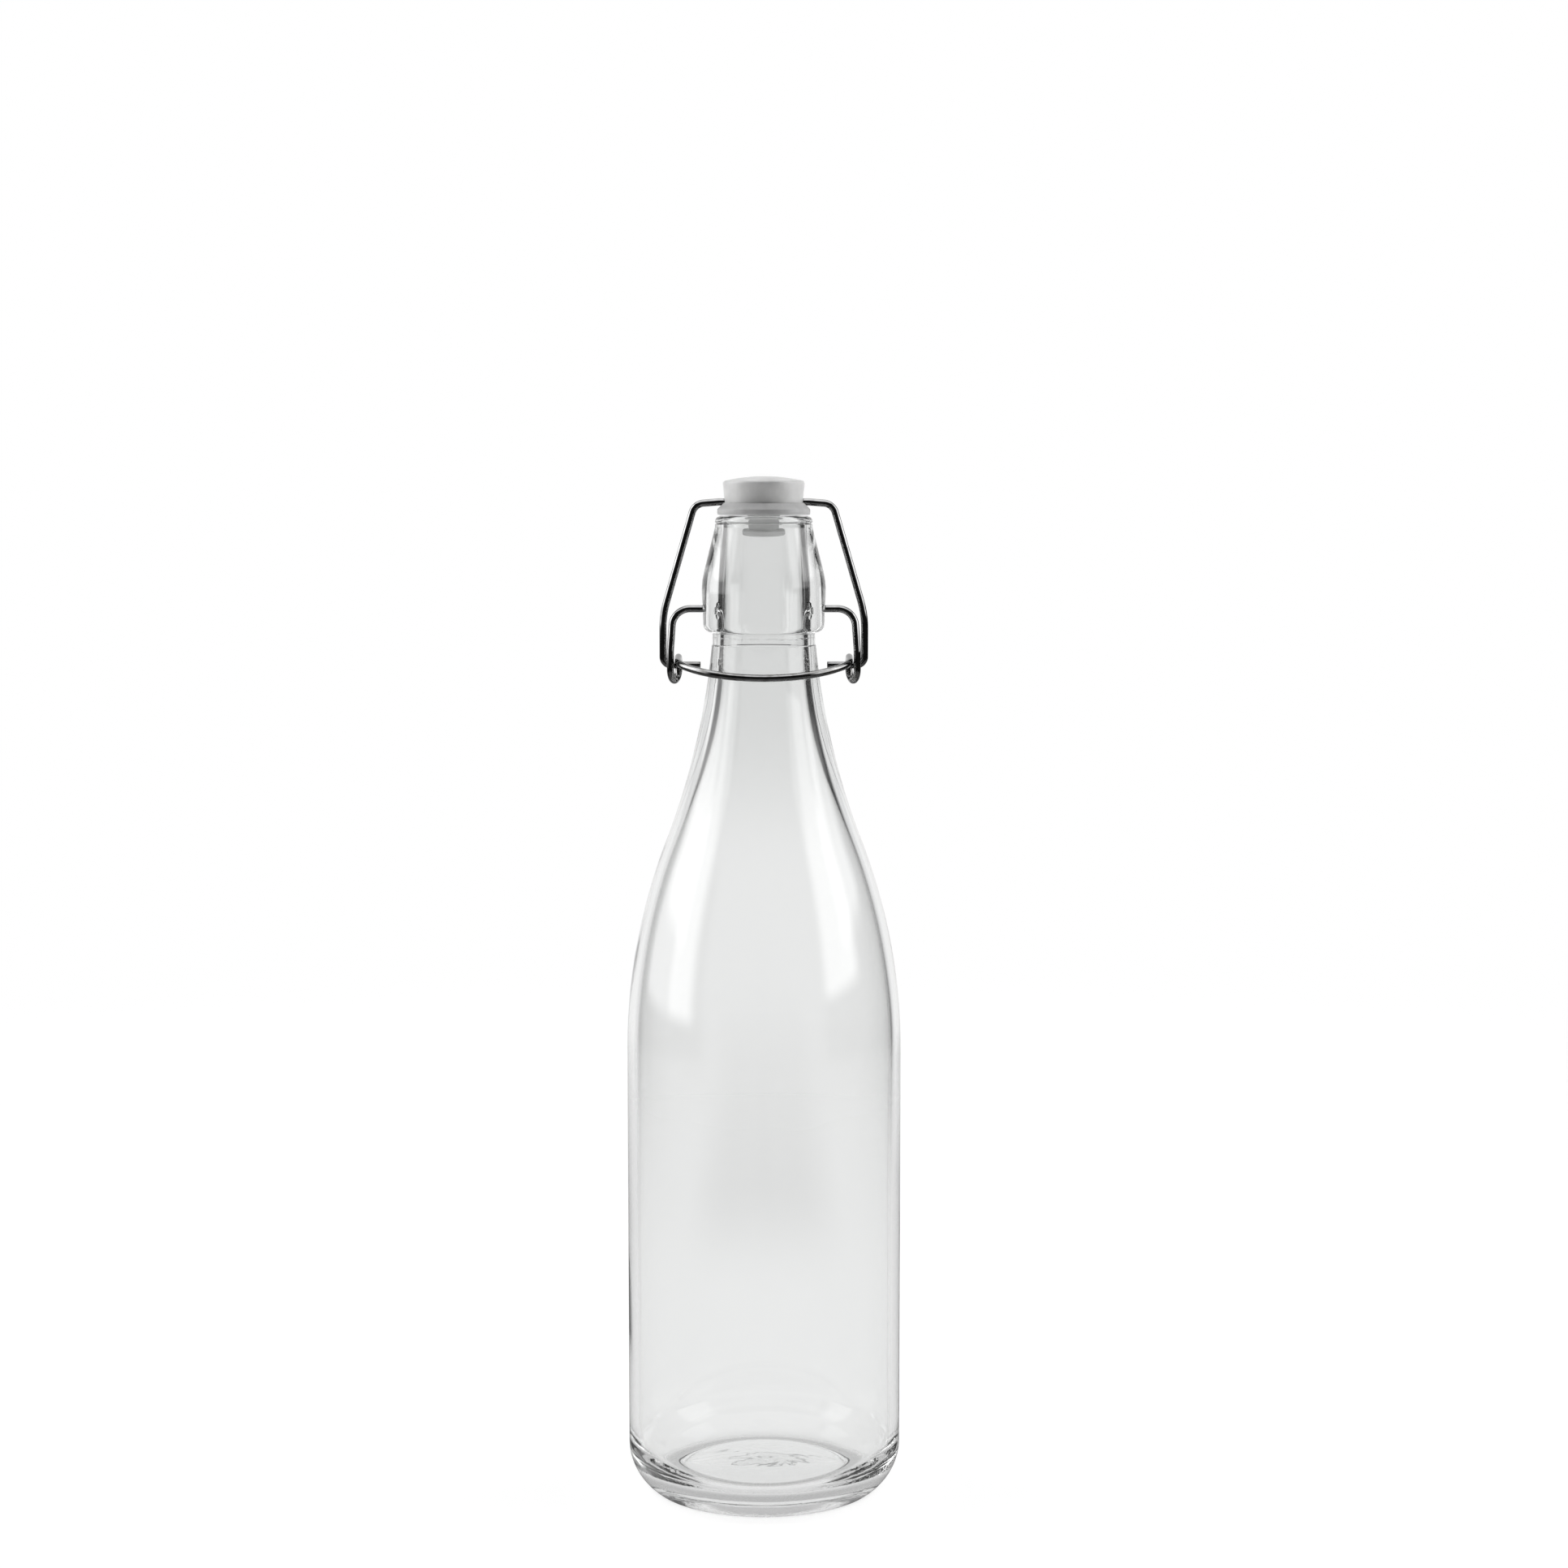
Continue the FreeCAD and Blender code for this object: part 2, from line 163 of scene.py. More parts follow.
def light_room(world):
    """The room's light by direction, with its own share for what is seen, mirrored or lit by it."""
    world.use_nodes = True
    tree = world.node_tree
    tree.nodes.clear()
    path = new_node(tree, "ShaderNodeLightPath").outputs
    toward = new_node(tree, "ShaderNodeTexCoord").outputs["Generated"]
    x, y, z = new_node(tree, "ShaderNodeSeparateXYZ", {0: toward}).outputs
    level = maths(tree, "SQRT", maths(tree, "SUBTRACT", 1.0, product(tree, z, z)))
    facing = maths(tree, "DIVIDE", product(tree, y, -1.0), maths(tree, "MAXIMUM", level, 0.001))
    angle = product(tree, maths(tree, "ARCCOSINE", facing), math.degrees(1))

    # the side lights: the left one is turned outwards, and their feet aren't quite level
    left = maths(tree, "LESS_THAN", x, 0.0)
    turned = maths(tree, "SUBTRACT", angle, product(tree, left, left_turn))
    side = product(
        tree, step_between(tree, turned, *side_inner_edge), step_between(tree, angle, *side_outer_edge)
    )
    foot = maths(tree, "SUBTRACT", z, product(tree, x, side_foot_slope))
    side_height = product(
        tree, step_between(tree, foot, *side_foot_edge), step_between(tree, z, *side_head_edge)
    )
    left_wing = product(tree, within(tree, angle, left_wing_inner_edge, left_wing_outer_edge), left)

    # the wall behind the bottle
    wall_way = (-math.sin(wall_turn), math.cos(wall_turn), 0)
    behind = new_node(tree, "ShaderNodeVectorMath", {0: toward, 1: wall_way}, operation="DOT_PRODUCT")
    wall = step_between(tree, behind.outputs["Value"], *wall_side_edge)
    wall = product(tree, wall, step_between(tree, z, *wall_head_edge), wall_light)
    lamps = total(tree, product(tree, side, side_height, side_light), wall, room_light)

    # seen through glass: also the front, the floor and the sky, with the gaps dark at the rims
    # and lit where the light has crossed both walls of the bottle
    gap = within(tree, angle, gap_inner_edge, gap_outer_edge)
    floor_and_sky = total(
        tree,
        product(tree, step_between(tree, z, *floor_edge), floor_light),
        product(tree, step_between(tree, z, *sky_edge), sky_light),
    )
    unlit = maths(tree, "SUBTRACT", 1.0, product(tree, gap, gap_shade))
    floor_and_sky = product(tree, floor_and_sky, unlit)
    both_walls = maths(tree, "GREATER_THAN", path["Transmission Depth"], both_walls_crossed)
    seen = total(tree, lamps, product(tree, step_between(tree, angle, *front_edge), front_light))
    seen = maths(tree, "MAXIMUM", seen, floor_and_sky)
    seen = maths(tree, "MAXIMUM", seen, product(tree, gap, both_walls, gap_light))

    # mirrored by the wires and the outside of the glass: also the ceiling and the high side lights
    ceiling = product(tree, step_between(tree, z, *ceiling_edge), ceiling_light)
    high_side = product(
        tree,
        within(tree, z, high_side_foot_edge, high_side_head_edge),
        within(tree, angle, high_side_inner_edge, high_side_outer_edge),
        high_side_light,
    )
    mirrored = total(tree, lamps, high_side, ceiling, product(tree, left_wing, side_height, side_light))

    # falling on the matt pieces
    matt_side = within(tree, angle, matt_side_inner_edge, matt_side_outer_edge)
    falling = total(
        tree,
        product(tree, matt_side, matt_side_light),
        matt_fill_light,
        product(tree, ceiling, matt_ceiling_share),
    )

    shown = either(tree, path["Is Transmission Ray"], mirrored, seen)
    shown = either(tree, path["Is Diffuse Ray"], shown, falling)
    shown = either(tree, path["Is Camera Ray"], shown, 1.0)
    shade = new_node(tree, "ShaderNodeBackground", {"Color": (1, 1, 1, 1), "Strength": shown})
    new_node(tree, "ShaderNodeOutputWorld", {"Surface": shade.outputs[0]})


scene.view_settings.view_transform = "Standard"
scene.world = bpy.data.worlds.new("studio room")
light_room(scene.world)
# the room's light keeps its share for each kind of ray only without its own sampling, and light
# in the thick heel turns more often than the usual four times before it comes out
scene.world.cycles.sampling_method = "NONE"
scene.cycles.glossy_bounces = 12

table_mesh = bpy.data.meshes.new("table_top")
shaper = bmesh.new()
bmesh.ops.create_circle(shaper, cap_ends=True, segments=table_sides, radius=table_radius)
shaper.to_mesh(table_mesh)
shaper.free()
table_top = bpy.data.objects.new("table_top", table_mesh)
scene.collection.objects.link(table_top)

# matt paint with a painted glow of its own, with painted shade where the bottle stands and far behind it, and
# painted nearly dark in the wires' reflections
table_paint = bpy.data.materials.new("pale table")
table_paint.use_nodes = True
tree = table_paint.node_tree
tree.nodes.clear()
path = new_node(tree, "ShaderNodeLightPath").outputs
place = new_node(tree, "ShaderNodeTexCoord").outputs["Object"]
away = new_node(tree, "ShaderNodeVectorMath", {0: place}, operation="LENGTH").outputs["Value"]
off_middle = maths(tree, "ABSOLUTE", new_node(tree, "ShaderNodeSeparateXYZ", {0: place}).outputs[0])
# painted shade far behind the bottle as seen through the glass, deepest in a band behind its middle
far_shade = product(tree, step_between(tree, off_middle, *far_table_middle), far_table_middle_shade)
far_shade = total(tree, far_shade, far_table_shade)
far_shade = product(tree, step_between(tree, away, *far_table_edge), far_shade)
in_glass = product(tree, maths(tree, "SUBTRACT", 1.0, far_shade), table_glow_in_glass)
glow = either(tree, path["Is Transmission Ray"], table_glow, in_glass)
# painted contact shadow: the glow is dimmed in a ring round the bottle's foot
contact = product(tree, within(tree, away, contact_inner_edge, contact_outer_edge), contact_shade)
glow = product(tree, glow, maths(tree, "SUBTRACT", 1.0, contact))
# painted dark reflection: the wires mirror the table with almost no glow
in_wire = maths(tree, "GREATER_THAN", path["Is Glossy Ray"], path["Transmission Depth"])
glow = either(tree, in_wire, glow, table_glow_in_wire)
glow = new_node(tree, "ShaderNodeEmission", {"Strength": glow})
matt = new_node(tree, "ShaderNodeBsdfDiffuse", {"Color": (table_grey, table_grey, table_grey, 1)})
matt = new_node(tree, "ShaderNodeAddShader", {0: matt.outputs[0], 1: glow.outputs[0]})
clear = new_node(tree, "ShaderNodeBsdfTransparent")
fade = step_between(tree, away, *table_fade)
blend = new_node(tree, "ShaderNodeMixShader", {0: fade, 1: matt.outputs[0], 2: clear.outputs[0]})
new_node(tree, "ShaderNodeOutputMaterial", {"Surface": blend.outputs[0]})
table_mesh.materials.append(table_paint)

camera = bpy.data.objects.new("camera", bpy.data.cameras.new("camera"))
camera.data.sensor_width = 36
camera.data.lens = camera_lens
camera.location = (0, -camera_distance, camera_height)
camera.rotation_euler = (math.radians(90 - camera_tilt), 0, math.radians(-camera_turn))
scene.collection.objects.link(camera)
scene.camera = camera


# ---- Glass bottle ----
# One litre bottle of clear flint glass, blown in a two-part mould. The heavy collar and lip are
# pressed first, with a moulded dimple at each side for the lever's ends.
body_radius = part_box("glass_bottle")[1].y
lip_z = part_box("glass_bottle")[1].z
body_wall = 0.0030
body_height = 0.1398
heel_radius = 0.0170
heel_height = 0.0140
push_up_radius = 0.0266
push_up_height = 0.0045
push_up_step = 0.0015
standing_ring_inner = 0.0286
base_thickness = 0.0050
inner_heel_radius = 0.0130
shoulder_radius = 0.1816
shoulder_lean = math.radians(21.15)
neck_radius = 0.0162
neck_lean = math.radians(5.5)
neck_step = 0.00025
inner_neck_curve = 0.1060
bore_lean = math.radians(2.0)
collar_bottom_radius = 0.0187
collar_radius = 0.01945
lip_radius = 0.01515
lip_groove = 0.00035
mouth_radius = 0.0112
collar_z = lip_z - 0.0360
cone_z = collar_z + 0.0152
land_z = cone_z + 0.0172
groove_z = land_z + 0.0013
glass_sides = 256
row_gap = 0.0035
body_tint = (0.958, 0.962, 0.960, 1)
neck_tint = (0.874, 0.880, 0.877, 1)
neck_tint_edge = (0.195, 0.250)
ripple_scale = 38.0
ripple_strength = 0.35
ripple_height = 0.0006
seam_width = 0.00022
seam_break_scale = 260.0
seam_share = 0.22
parting_ring_drop = 0.0017
stipple_scale = 950.0
stipple_edge = (0.0032, 0.0014)
stipple_share = 0.08
base_wave_scale = 110.0
base_wave_edge = (0.016, 0.004)
base_wave_share = 0.4
scuff_scale = 900.0
scuff_edge = (0.0007, 0.0001)
scuff_roughness = 0.45
smear_scale = 55.0
smear_roughness = 0.012


def arc_points(centre_r, centre_z, radius, start, stop, count):
    """Outline points round a centre, angles from the outward direction."""
    angles = [start + (stop - start) * i / count for i in range(count + 1)]
    return [Vector((centre_r + radius * math.cos(a), 0, centre_z + radius * math.sin(a))) for a in angles]


def dome_points(edge_r, edge_z, top_z, count):
    """Outline points of a ball's cap, from its edge to its top on the axis."""
    height = top_z - edge_z
    radius = (edge_r ** 2 + height ** 2) / (2 * height)
    spread = math.asin(edge_r / radius)
    return arc_points(0, top_z - radius, radius, math.pi / 2 - spread, math.pi / 2, count)


def rounded(corners, turn_step=math.radians(9)):
    """Points along straight runs through (point, radius) corners, each corner turned by its arc."""
    points = [Vector(point) for point, radius in corners]
    halves = [0.0] * len(points)
    reaches = [0.0] * len(points)
    for i in range(1, len(points) - 1):
        halves[i] = (points[i - 1] - points[i]).angle(points[i + 1] - points[i]) / 2
        reaches[i] = corners[i][1] / math.tan(halves[i])
    for i in range(len(points) - 1):
        room = (points[i + 1] - points[i]).length * 0.98
        wanted = reaches[i] + reaches[i + 1]
        if wanted > room:
            reaches[i] *= room / wanted
            reaches[i + 1] *= room / wanted
    made = [points[0]]
    for i in range(1, len(points) - 1):
        if reaches[i] <= 0:
            made.append(points[i])
            continue
        before = (points[i - 1] - points[i]).normalized()
        after = (points[i + 1] - points[i]).normalized()
        radius = reaches[i] * math.tan(halves[i])
        centre = points[i] + (before + after).normalized() * (radius / math.sin(halves[i]))
        start = points[i] + before * reaches[i] - centre
        stop = points[i] + after * reaches[i] - centre
        turns = fractions(math.pi - 2 * halves[i], turn_step)
        made += [centre + radius * start.slerp(stop, t) for t in turns]
    return made + [points[-1]]


def fractions(turn, turn_step):
    count = max(2, math.ceil(turn / turn_step))
    return [i / count for i in range(count + 1)]


def rz(r, z):
    return Vector((r, 0, z))


def bottle_outline():
    """The whole section of the glass, from the push-up's middle out, up, over the lip and down inside."""
    heel_r = body_radius - heel_radius
    shoulder_r = body_radius - shoulder_radius
    turn_r = shoulder_r + shoulder_radius * math.cos(shoulder_lean)
    turn_z = body_height + shoulder_radius * math.sin(shoulder_lean)
    neck_curve = (turn_r - neck_radius) / (math.cos(neck_lean) - math.cos(shoulder_lean))
    neck_top_z = turn_z + neck_curve * (math.sin(shoulder_lean) - math.sin(neck_lean))
    neck_r = neck_radius + neck_curve * math.cos(neck_lean)
    neck_z = neck_top_z + neck_curve * math.sin(neck_lean)
    half_turn = math.pi
    ring_angle = -math.asin(heel_height / heel_radius)
    points = list(reversed(dome_points(push_up_radius, push_up_step, push_up_height, 10)))
    points += [rz(standing_ring_inner, 0)]
    points += arc_points(heel_r, heel_height, heel_radius, ring_angle, 0, 14)
    points += arc_points(shoulder_r, body_height, shoulder_radius, 0, shoulder_lean, 28)
    points += arc_points(neck_r, neck_z, neck_curve, half_turn + shoulder_lean, half_turn + neck_lean, 26)[1:]
    band = neck_radius - neck_step
    points += rounded([
        (rz(band, neck_top_z + neck_step), 0),
        (rz(band, collar_z), 0.0004),
        (rz(collar_bottom_radius, collar_z), 0.0025),
        (rz(collar_radius, cone_z), 0.022),
        (rz(lip_radius, land_z), 0.0008),
        (rz(lip_radius, groove_z - lip_groove), 0.0001),
        (rz(lip_radius - lip_groove, groove_z), 0.0001),
        (rz(lip_radius, groove_z + lip_groove), 0.0001),
        (rz(lip_radius, lip_z), 0.0019),
        (rz(mouth_radius, lip_z), 0.0013),
        (bore_foot(), 0),
    ], math.radians(6))
    return points + inside_points()


def inner_shoulder():
    radius = shoulder_radius - body_wall
    return (
        body_radius - body_wall - radius * (1 - math.cos(shoulder_lean)),
        body_height + radius * math.sin(shoulder_lean),
    )


def bore_foot():
    """Where the tapered bore meets the curve inside the neck's foot."""
    r, z = inner_shoulder()
    drop = inner_neck_curve * (math.cos(bore_lean) - math.cos(shoulder_lean))
    rise = inner_neck_curve * (math.sin(shoulder_lean) - math.sin(bore_lean))
    reach = z + (r - drop) / math.tan(shoulder_lean) + rise
    slope = math.tan(bore_lean)
    foot_r = (mouth_radius + slope * (lip_z - reach)) / (1 - slope / math.tan(shoulder_lean))
    return rz(foot_r, reach - foot_r / math.tan(shoulder_lean))


def inside_points():
    foot = bore_foot()
    wall_r = body_radius - body_wall
    curve_r = foot.x + inner_neck_curve * math.cos(bore_lean)
    curve_z = foot.z + inner_neck_curve * math.sin(bore_lean)
    points = arc_points(
        curve_r, curve_z, inner_neck_curve, math.pi + bore_lean, math.pi + shoulder_lean, 16
    )[1:]
    points += arc_points(
        body_radius - shoulder_radius, body_height, shoulder_radius - body_wall, shoulder_lean, 0, 28
    )
    heel_r = wall_r - inner_heel_radius
    heel_z = base_thickness + inner_heel_radius
    points += arc_points(heel_r, heel_z, inner_heel_radius, 0, -math.pi / 2, 16)
    points += dome_points(heel_r, base_thickness, base_thickness + push_up_height, 10)[1:]
    return points


def filled(points, longest):
    """Adds points along the long straight runs, so that shading stays true beside them."""
    made = points[:1]
    for point in points[1:]:
        parts = math.ceil((point - made[-1]).length / longest)
        start = made[-1]
        made += [start.lerp(point, i / parts) for i in range(1, parts)] + [point]
    return made


def new_tree(name, inputs):
    """A geometry node tree with named inputs, and its input and output nodes."""
    made = bpy.data.node_groups.new(name, "GeometryNodeTree")
    made.interface.new_socket("Geometry", in_out="OUTPUT", socket_type="NodeSocketGeometry")
    for socket, kind in inputs:
        made.interface.new_socket(socket, in_out="INPUT", socket_type=kind)
    return made, new_node(made, "NodeGroupInput").outputs, new_node(made, "NodeGroupOutput")


def made_by(tree, name, points, values, attributes=None):
    """A plain mesh object that the tree makes from a line through the points."""
    base = bpy.data.meshes.new(name + " line")
    base.from_pydata(points, [(i, i + 1) for i in range(len(points) - 1)], [])
    for attribute, numbers in (attributes or {}).items():
        base.attributes.new(attribute, "FLOAT", "POINT").data.foreach_set("value", numbers)
    piece = bpy.data.objects.new(name, base)
    scene.collection.objects.link(piece)
    modifier = piece.modifiers.new("shape", "NODES")
    modifier.node_group = tree
    for item in tree.interface.items_tree:
        if item.in_out == "INPUT" and item.name in values:
            modifier[item.identifier] = values[item.name]
    bpy.context.view_layer.update()
    shown = piece.evaluated_get(bpy.context.evaluated_depsgraph_get())
    mesh = bpy.data.meshes.new_from_object(shown)
    piece.modifiers.clear()
    piece.data = mesh
    mesh.name = name
    return piece


def outward(mesh, sharp):
    """Turns all faces outwards and keeps edges over the angle sharp."""
    shaper = bmesh.new()
    shaper.from_mesh(mesh)
    bmesh.ops.remove_doubles(shaper, verts=shaper.verts, dist=1e-7)
    bmesh.ops.recalc_face_normals(shaper, faces=shaper.faces)
    shaper.to_mesh(mesh)
    shaper.free()
    mesh.polygons.foreach_set("use_smooth", [True] * len(mesh.polygons))
    mesh.set_sharp_from_angle(angle=math.radians(sharp))


turning, source, result = new_tree("turned outline", [
    ("Outline", "NodeSocketGeometry"),
    ("Sides", "NodeSocketInt"),
    ("Spindle", "NodeSocketFloat"),
    ("Finish", "NodeSocketMaterial"),
])
section = new_node(turning, "GeometryNodeMeshToCurve", {"Mesh": source["Outline"]}).outputs[0]
inward = new_node(turning, "ShaderNodeMath", {0: source["Spindle"], 1: -1.0}, operation="MULTIPLY").outputs[0]
shift = new_node(turning, "ShaderNodeCombineXYZ", {"X": inward}).outputs[0]
section = new_node(turning, "GeometryNodeTransform", {"Geometry": section, "Translation": shift}).outputs[0]
section = new_node(
    turning, "GeometryNodeTransform", {"Geometry": section, "Rotation": (math.pi / 2, 0, 0)}
).outputs[0]
ring = new_node(
    turning, "GeometryNodeCurvePrimitiveCircle", {"Resolution": source["Sides"], "Radius": source["Spindle"]}
).outputs[0]
ring = new_node(turning, "GeometryNodeSetCurveNormal", {"Curve": ring}, mode="Z_UP").outputs[0]
skin = new_node(turning, "GeometryNodeCurveToMesh", {"Curve": ring, "Profile Curve": section}).outputs[0]
skin = new_node(turning, "GeometryNodeMergeByDistance", {"Geometry": skin, "Distance": 1e-6}).outputs[0]
skin = new_node(turning, "GeometryNodeRealizeInstances", {"Geometry": skin}).outputs[0]
new_node(turning, "GeometryNodeSetMaterial", {"Geometry": skin, "Material": source["Finish"]})
turning.links.new(turning.nodes[-1].outputs[0], result.inputs[0])


def plain_material(name):
    made = bpy.data.materials.new(name)
    made.use_nodes = True
    tree = made.node_tree
    tree.nodes.clear()
    shader = new_node(tree, "ShaderNodeBsdfPrincipled")
    output = new_node(tree, "ShaderNodeOutputMaterial", {"Surface": shader.outputs[0]})
    return made, tree, shader, output


def noise(tree, vector, scale, detail):
    made = new_node(tree, "ShaderNodeTexNoise", {"Vector": vector, "Scale": scale, "Detail": detail})
    return made.outputs["Fac"]


def cells(tree, vector, scale):
    """Distance from the middle of small random cells."""
    return new_node(tree, "ShaderNodeTexVoronoi", {"Vector": vector, "Scale": scale}).outputs["Distance"]


def two_tones(tree, value, first, last, start=0.0, stop=1.0):
    """A colour that goes from the first to the last as the value goes from start to stop."""
    made = new_node(tree, "ShaderNodeValToRGB", {"Fac": value})
    made.color_ramp.elements[0].position = start
    made.color_ramp.elements[0].color = first
    made.color_ramp.elements[1].position = stop
    made.color_ramp.elements[1].color = last
    return made.outputs[0]


flint_glass, tree, shader, output = plain_material("flint glass")
shader.inputs["Transmission Weight"].default_value = 1.0
shader.inputs["IOR"].default_value = 1.5
place = new_node(tree, "ShaderNodeTexCoord").outputs["Object"]
part = new_node(tree, "ShaderNodeSeparateXYZ", {0: place}).outputs
neck_share = step_between(tree, part[2], *neck_tint_edge)
tree.links.new(two_tones(tree, neck_share, body_tint, neck_tint), shader.inputs["Base Color"])
stretched = new_node(tree, "ShaderNodeMapping", {"Vector": place, "Scale": (1.0, 1.0, 0.45)}).outputs[0]
ripple = noise(tree, stretched, ripple_scale, 1.0)
seam = step_between(tree, maths(tree, "DIVIDE", maths(tree, "ABSOLUTE", part[1]), seam_width), 1.0, 0.0)
ring_gap = maths(tree, "ABSOLUTE", maths(tree, "SUBTRACT", part[2], collar_z - parting_ring_drop))
ring = step_between(tree, maths(tree, "DIVIDE", ring_gap, seam_width), 1.0, 0.0)
broken = step_between(tree, noise(tree, place, seam_break_scale, 2.0), 0.38, 0.58)
seam = maths(tree, "MAXIMUM", seam, product(tree, ring, broken))
stipple = step_between(tree, cells(tree, place, stipple_scale), 0.5, 0.1)
stipple = product(tree, stipple, step_between(tree, part[2], *stipple_edge))
base_wave = noise(tree, place, base_wave_scale, 2.0)
base_wave = product(tree, base_wave, step_between(tree, part[2], *base_wave_edge))
height = total(
    tree,
    ripple,
    product(tree, seam, seam_share),
    product(tree, stipple, stipple_share),
    product(tree, base_wave, base_wave_share),
)
relief = new_node(tree, "ShaderNodeBump", {
    "Height": height, "Strength": ripple_strength, "Distance": ripple_height,
})
tree.links.new(relief.outputs[0], shader.inputs["Normal"])
scuff = step_between(tree, noise(tree, place, scuff_scale, 4.0), 0.40, 0.62)
scuff = product(tree, scuff, step_between(tree, part[2], *scuff_edge), scuff_roughness)
smear = product(tree, step_between(tree, noise(tree, place, smear_scale, 3.0), 0.55, 0.75), smear_roughness)
tree.links.new(total(tree, smear, scuff), shader.inputs["Roughness"])
lamps = new_node(tree, "ShaderNodeLightPath").outputs["Is Shadow Ray"]
see_through = new_node(tree, "ShaderNodeBsdfTransparent", {"Color": (0.9, 0.91, 0.91, 1)})
both = new_node(tree, "ShaderNodeMixShader", {0: lamps, 1: shader.outputs[0], 2: see_through.outputs[0]})
tree.links.new(both.outputs[0], output.inputs["Surface"])

glass = made_by(turning, "bottle_glass", filled(bottle_outline(), row_gap), {
    "Sides": glass_sides, "Spindle": 0.02, "Finish": flint_glass,
})
outward(glass.data, 40)

# the moulded dimples, each a blind hole with a flared and rounded mouth
wire_radius = 0.00112
dimple_play = 0.00006
dimple_depth = 0.0037
dimple_flare_radius = 0.0027
dimple_flare_depth = 0.0017
dimple_rim = 0.0007
lever_pivot = Vector(next(j for j in frame["joints"] if j["name"] == "lever_pivot")["pos_m"])
dimple_mouth_x = 0.01906


def turned_about_x(piece, side, x, z):
    """Lays a turned piece along X, its foot at x and its open end outwards."""
    for vertex in piece.data.vertices:
        r_y, r_x, along = vertex.co
        vertex.co = (side * (x + along), r_y, z + r_x)


def cut_by(piece, cutters):
    """Cuts the cutters out of the piece and leaves a plain mesh."""
    for cutter in cutters:
        modifier = piece.modifiers.new("cut", "BOOLEAN")
        modifier.operation = "DIFFERENCE"
        modifier.solver = "EXACT"
        modifier.object = cutter
    bpy.context.view_layer.update()
    shown = piece.evaluated_get(bpy.context.evaluated_depsgraph_get())
    mesh = bpy.data.meshes.new_from_object(shown)
    piece.modifiers.clear()
    piece.data = mesh
    mesh.name = piece.name
    for cutter in cutters:
        bpy.data.objects.remove(cutter)


def dimple_cutter(side):
    hole = wire_radius + dimple_play
    outline = rounded([
        (rz(0, 0), 0),
        (rz(hole, 0), 0.0004),
        (rz(hole, dimple_depth - dimple_flare_depth), 0.0012),
        (rz(dimple_flare_radius, dimple_depth), dimple_rim),
        (rz(dimple_flare_radius * 2, dimple_depth + dimple_rim), 0),
        (rz(0, dimple_depth + dimple_rim), 0),
    ])
    cutter = made_by(turning, "dimple", outline, {"Sides": 48, "Spindle": 0.002, "Finish": flint_glass})
    turned_about_x(cutter, side, dimple_mouth_x - dimple_depth, lever_pivot.z)
    outward(cutter.data, 60)
    return cutter


cut_by(glass, [dimple_cutter(-1), dimple_cutter(1)])
outward(glass.data, 35)
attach(glass, "bottle")
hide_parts("glass_bottle")


# ---- Lever wire ----
# One length of plated spring wire, bent cold. Its ends snap into the glass dimples, each side
# goes down to a coil eye that carries the bail, and the front loop is the thumb lever.
lever_shoulder_x = 0.0281
lever_shoulder_bend = 0.0055
lever_arm_x = 0.0290
lever_arm_bend = 0.0080
lever_end_x = 0.01565
eye_radius = 0.0035
eye_y = 0.0012
eye_z = lever_pivot.z - 0.0186
strand_gap = 0.00016
loop_reach = 0.0201
loop_drop = 0.0054
loop_corner_radius = 0.0130
loop_straight = 0.0020
wire_end_round = 0.0003
wire_sides = 28
die_line_scale = 4200.0
die_line_height = 0.0000006
bloom_scale = 420.0
pit_scale = 1500.0
dark_zinc = (0.20, 0.20, 0.202, 1)
bright_zinc = (0.28, 0.28, 0.28, 1)
worn_zinc = (0.16, 0.158, 0.155, 1)
rubbed_height = 0.006
polished_roughness = 0.04
bloom_roughness = 0.03
pit_roughness = 0.06
rubbed_roughness = 0.08


def bend(centre, first, second, start, stop):
    """Points round a bend; first and second are its radius along its two axes."""
    return [
        centre + first * math.cos(start + (stop - start) * t) + second * math.sin(start + (stop - start) * t)
        for t in fractions(abs(stop - start), math.radians(5))
    ]


def lever_half():
    """Right half of the lever's centre line, from its end in the glass to the loop's middle."""
    loop_x = lever_arm_x - 2 * wire_radius - strand_gap
    loop_lean = math.atan2(loop_drop, loop_reach + eye_y)
    arm_foot = Vector((lever_arm_x, eye_y - eye_radius, eye_z))
    rear = Vector((loop_x, eye_y + eye_radius, eye_z))
    points = rounded([
        (Vector((lever_end_x, 0, lever_pivot.z)), 0),
        (Vector((lever_shoulder_x, 0, lever_pivot.z)), lever_shoulder_bend),
        (Vector((lever_arm_x, eye_y - eye_radius, eye_z + eye_radius * 1.6)), lever_arm_bend),
        (arm_foot, 0),
    ], math.radians(5))
    middle = (arm_foot + rear) / 2
    points += bend(middle, arm_foot - middle, Vector((0, 0, -(arm_foot - middle).length)), 0, math.pi)
    eye = Vector((loop_x, eye_y, eye_z))
    turn = math.pi / 2 + loop_lean
    points += bend(eye, Vector((0, eye_radius, 0)), Vector((0, 0, eye_radius)), 0, turn)
    start = points[-1]
    ahead = Vector((0, -math.cos(loop_lean), -math.sin(loop_lean)))
    across = Vector((1, 0, 0))
    reach = (loop_reach + start.y) / math.cos(loop_lean)
    corner_x = loop_x - loop_corner_radius
    offset = reach - loop_straight
    front = (corner_x ** 2 + offset ** 2 - loop_corner_radius ** 2) / (2 * (offset - loop_corner_radius))
    sweep = math.atan2(corner_x, front - offset)
    middle = start + ahead * loop_straight - across * loop_corner_radius
    points += bend(middle, across * loop_corner_radius, ahead * loop_corner_radius, 0, math.pi / 2 - sweep)
    middle = start + ahead * (reach - front) - across * loop_x
    points += bend(middle, across * front, ahead * front, math.pi / 2 - sweep, math.pi / 2)
    return points


def both_sides(half):
    """The whole centre line, without doubled points."""
    whole = half + [Vector((-p.x, p.y, p.z)) for p in reversed(half)]
    kept = whole[:1]
    for point in whole[1:]:
        if (point - kept[-1]).length > 1e-5:
            kept.append(point)
    return kept


